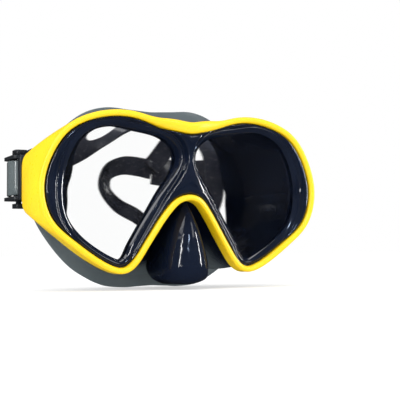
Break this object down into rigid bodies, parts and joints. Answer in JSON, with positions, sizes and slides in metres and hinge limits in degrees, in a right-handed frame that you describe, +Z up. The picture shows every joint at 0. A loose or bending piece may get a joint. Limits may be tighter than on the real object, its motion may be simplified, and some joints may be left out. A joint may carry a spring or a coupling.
{
  "type": "snorkel mask",
  "caption": "Two-window diving mask with rigid rim, black bezel, soft skirt with nose pocket, and a split strap held by roller buckles.",
  "frame": {"origin": "middle of the face seal, where the skirt meets the wearer's face", "axes": "+Z up as worn, -Y out through the glass, +X to the wearer's left"},
  "size_m": [0.163, 0.095, 0.0992],
  "materials": {
    "rim_yellow": "satin-gloss moulded polycarbonate",
    "bezel_black": "high gloss, blue-black",
    "glass": "clear tempered glass",
    "silicone": "glossy nose pocket, satin lip",
    "buckle": "moulded black",
    "steel": "stainless"
  },
  "bodies": {
    "mask": {"main_frame": "rim_yellow", "lens_bezel": "bezel_black", "lens_right": "glass", "lens_left": "glass", "skirt": "silicone", "strap": "silicone", "buckle_base_right": "buckle", "buckle_screw_right": "steel", "roller_pin_right": "steel", "pawl_pin_right": "steel", "pawl_spring_right": "steel", "buckle_base_left": "buckle", "buckle_screw_left": "steel", "roller_pin_left": "steel", "pawl_pin_left": "steel", "pawl_spring_left": "steel"},
    "roller_right": {"strap_roller_right": "buckle"},
    "pawl_right": {"pawl_right": "buckle"},
    "button_upper_right": {"button_upper_right": "buckle"},
    "button_lower_right": {"button_lower_right": "buckle"},
    "roller_left": {"strap_roller_left": "buckle"},
    "pawl_left": {"pawl_left": "buckle"},
    "button_upper_left": {"button_upper_left": "buckle"},
    "button_lower_left": {"button_lower_left": "buckle"}
  },
  "joints": [
    {"name": "roller_spin_right", "type": "hinge", "parent": "mask", "child": "roller_right", "pos_m": [0.07635, -0.017, 0.0045], "axis": [0, 0, 1], "continuous": true},
    {"name": "button_press_upper_right", "type": "slide", "parent": "mask", "child": "button_upper_right", "axis": [0, 0, -1], "range_m": [0, 0.0012], "stiffness_N_per_m": 800, "springref_m": -0.001},
    {"name": "button_press_lower_right", "type": "slide", "parent": "mask", "child": "button_lower_right", "axis": [0, 0, 1], "range_m": [0, 0.0012]},
    {"name": "pawl_release_right", "type": "hinge", "parent": "mask", "child": "pawl_right", "pos_m": [0.07575, -0.009, 0.0045], "axis": [0, 0, -1], "range_deg": [0, 14.5]},
    {"name": "roller_spin_left", "type": "hinge", "parent": "mask", "child": "roller_left", "pos_m": [-0.07635, -0.017, 0.0045], "axis": [0, 0, 1], "continuous": true},
    {"name": "button_press_upper_left", "type": "slide", "parent": "mask", "child": "button_upper_left", "axis": [0, 0, -1], "range_m": [0, 0.0012], "stiffness_N_per_m": 800, "springref_m": -0.001},
    {"name": "button_press_lower_left", "type": "slide", "parent": "mask", "child": "button_lower_left", "axis": [0, 0, 1], "range_m": [0, 0.0012]},
    {"name": "pawl_release_left", "type": "hinge", "parent": "mask", "child": "pawl_left", "pos_m": [-0.07575, -0.009, 0.0045], "axis": [0, 0, 1], "range_deg": [0, 14.5]}
  ],
  "couplings": [
    {"joint": "button_press_lower_right", "follows": "button_press_upper_right", "ratio": 1},
    {"joint": "pawl_release_right", "follows": "button_press_upper_right", "rad_per_m": 205},
    {"joint": "button_press_lower_left", "follows": "button_press_upper_left", "ratio": 1},
    {"joint": "pawl_release_left", "follows": "button_press_upper_left", "rad_per_m": 205}
  ]
}
